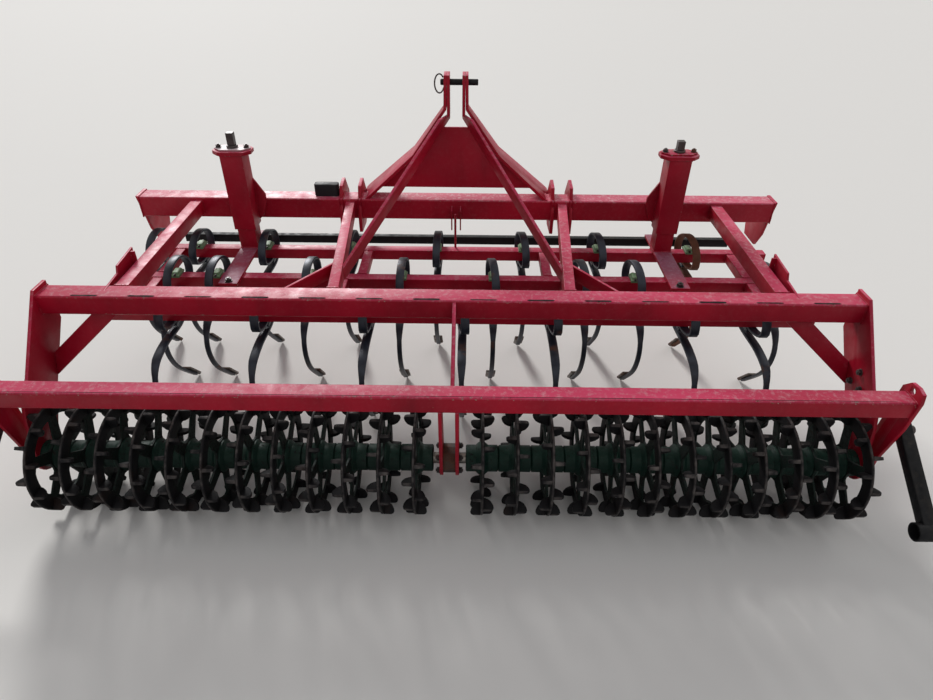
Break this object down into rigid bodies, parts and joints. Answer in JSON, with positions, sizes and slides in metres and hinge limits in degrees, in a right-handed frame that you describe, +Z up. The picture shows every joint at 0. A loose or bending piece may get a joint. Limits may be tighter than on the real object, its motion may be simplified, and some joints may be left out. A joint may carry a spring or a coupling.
{
  "type": "seedbed cultivator",
  "caption": "Tractor-mounted seedbed cultivator: welded frame with a hitch mast, height-adjustable spring tine frame and a rear ring roller in two halves.",
  "frame": {"origin": "middle of the machine's footprint, on the ground", "axes": "+X to the right of the machine seen from behind, +Y forwards to the tractor, +Z up"},
  "size_m": [3.322, 1.692, 1.25],
  "materials": {
    "crimson_paint": "worn crimson paint with rust and dirt",
    "worn_steel": "bare steel, lightly rusted",
    "cast_housing": "rough casting, dark",
    "black_plastic": "matte",
    "spring_steel": "black paint worn off the spring steel",
    "share_steel": "soil-worn steel",
    "clamp_paint": "pale green paint, chipped",
    "black_paint": "black paint, dull",
    "roller_iron": "dark green paint worn to dark iron, earth in the corners"
  },
  "bodies": {
    "frame": {"front_beam": "crimson_paint", "rear_beam": "crimson_paint", "roller_beam": "crimson_paint", "side_rails": "crimson_paint", "centre_rails": "crimson_paint", "rail_brackets": "crimson_paint", "diagonal_braces": "crimson_paint", "end_brackets": "crimson_paint", "rear_legs": "crimson_paint", "leg_braces": "crimson_paint", "side_plates": "crimson_paint", "bearing_housings": "cast_housing", "centre_link": "crimson_paint", "centre_hanger": "crimson_paint", "centre_bearing": "cast_housing", "hitch_ears": "crimson_paint", "hitch_pins": "worn_steel", "mast_legs": "crimson_paint", "mast_stays": "crimson_paint", "mast_plate": "crimson_paint", "top_link_pin": "worn_steel", "post_tubes": "crimson_paint", "post_flanges": "crimson_paint", "post_gussets": "crimson_paint", "spindles": "worn_steel", "document_box": "black_plastic", "rod_bracket": "crimson_paint", "arm_pivots": "worn_steel"},
    "tine_frame": {"tine_bars": "crimson_paint", "levelling_bar": "black_paint", "tine_rails": "crimson_paint", "post_arms": "crimson_paint", "inner_posts": "crimson_paint", "gauge_rod": "worn_steel", "tines_front": "spring_steel", "tines_middle": "spring_steel", "tines_rear": "spring_steel", "clamp_plates": "clamp_paint", "clamp_blocks": "spring_steel", "tine_shares": "share_steel"},
    "roller_left": {"roller_left": "roller_iron", "journals_left": "worn_steel"},
    "roller_right": {"roller_right": "roller_iron", "journals_right": "worn_steel"},
    "swing_arm_left": {"swing_arm_left": "black_paint"},
    "swing_arm_right": {"swing_arm_right": "black_paint"}
  },
  "joints": [
    {"name": "tine_frame_height", "type": "slide", "parent": "frame", "child": "tine_frame", "axis": [0, 0, 1], "range_m": [-0.05, 0.05]},
    {"name": "roller_left_turn", "type": "hinge", "parent": "frame", "child": "roller_left", "pos_m": [-0.75, -0.51395, 0.2], "axis": [1, 0, 0], "continuous": true},
    {"name": "roller_right_turn", "type": "hinge", "parent": "frame", "child": "roller_right", "pos_m": [0.75, -0.51395, 0.2], "axis": [1, 0, 0], "continuous": true},
    {"name": "swing_arm_left_turn", "type": "hinge", "parent": "frame", "child": "swing_arm_left", "pos_m": [-1.541, -0.55195, 0.395], "axis": [1, 0, 0], "range_deg": [-60, 45]},
    {"name": "swing_arm_right_turn", "type": "hinge", "parent": "frame", "child": "swing_arm_right", "pos_m": [1.541, -0.55195, 0.395], "axis": [1, 0, 0], "range_deg": [-60, 45]}
  ]
}
